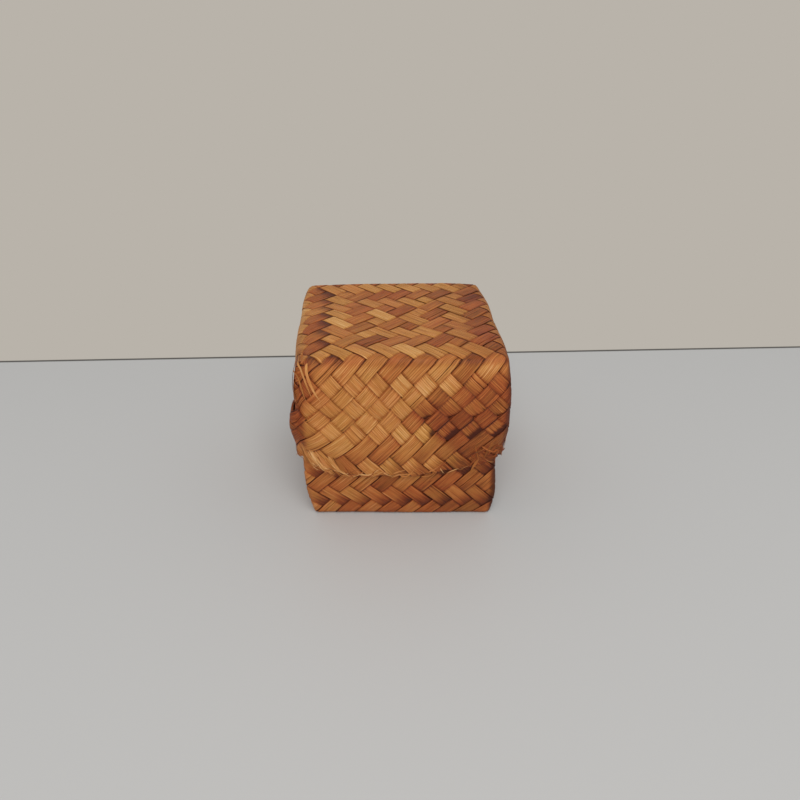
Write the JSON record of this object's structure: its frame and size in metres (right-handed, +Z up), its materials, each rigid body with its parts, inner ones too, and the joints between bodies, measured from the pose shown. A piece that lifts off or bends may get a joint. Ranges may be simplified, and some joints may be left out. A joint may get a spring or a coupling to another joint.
{
  "type": "woven gift box",
  "caption": "Small square box of plaited bamboo strips with a deep lid that lifts straight off an open base.",
  "frame": {"origin": "on the surface the box stands on, under the middle of the base", "axes": "+Z up through the lid, +X to the right and +Y to the back of the box as pictured"},
  "size_m": [0.1036, 0.1036, 0.09],
  "materials": {
    "bamboo_warm": "split bamboo strip, warm brown, fine lengthwise fibres, low sheen",
    "bamboo_pale": "split bamboo strip, pale tan, fine lengthwise fibres, low sheen",
    "bamboo_base": "split bamboo strip, red brown, fine lengthwise fibres, low sheen"
  },
  "bodies": {
    "base": {"base_strip_front_1": "bamboo_base", "base_strip_front_2": "bamboo_base", "base_strip_front_3": "bamboo_base", "base_strip_front_4": "bamboo_base", "base_strip_front_5": "bamboo_base", "base_strip_front_6": "bamboo_base", "base_strip_front_7": "bamboo_base", "base_strip_front_8": "bamboo_base", "base_strip_front_9": "bamboo_base", "base_strip_back_1": "bamboo_base", "base_strip_back_2": "bamboo_base", "base_strip_back_3": "bamboo_base", "base_strip_back_4": "bamboo_base", "base_strip_back_5": "bamboo_base", "base_strip_back_6": "bamboo_base", "base_strip_back_7": "bamboo_base", "base_strip_back_8": "bamboo_base", "base_strip_back_9": "bamboo_base"},
    "lid": {"lid_strip_front_1": "bamboo_warm", "lid_strip_front_2": "bamboo_warm", "lid_strip_front_3": "bamboo_warm", "lid_strip_front_4": "bamboo_warm", "lid_strip_front_5": "bamboo_warm", "lid_strip_front_6": "bamboo_warm", "lid_strip_front_7": "bamboo_warm", "lid_strip_front_8": "bamboo_warm", "lid_strip_front_9": "bamboo_warm", "lid_strip_right_1": "bamboo_pale", "lid_strip_right_2": "bamboo_pale", "lid_strip_right_3": "bamboo_pale", "lid_strip_right_4": "bamboo_pale", "lid_strip_right_5": "bamboo_pale", "lid_strip_right_6": "bamboo_pale", "lid_strip_right_7": "bamboo_pale", "lid_strip_right_8": "bamboo_pale", "lid_strip_right_9": "bamboo_pale", "lid_strip_back_1": "bamboo_warm", "lid_strip_back_2": "bamboo_warm", "lid_strip_back_3": "bamboo_warm", "lid_strip_back_4": "bamboo_warm", "lid_strip_back_5": "bamboo_warm", "lid_strip_back_6": "bamboo_warm", "lid_strip_back_7": "bamboo_warm", "lid_strip_back_8": "bamboo_warm", "lid_strip_back_9": "bamboo_warm", "lid_strip_left_1": "bamboo_pale", "lid_strip_left_2": "bamboo_pale", "lid_strip_left_3": "bamboo_pale", "lid_strip_left_4": "bamboo_pale", "lid_strip_left_5": "bamboo_pale", "lid_strip_left_6": "bamboo_pale", "lid_strip_left_7": "bamboo_pale", "lid_strip_left_8": "bamboo_pale", "lid_strip_left_9": "bamboo_pale"}
  },
  "joints": [
    {"name": "lid_lift", "type": "slide", "parent": "base", "child": "lid", "axis": [0, 0, 1], "range_m": [0, 0.08]}
  ]
}
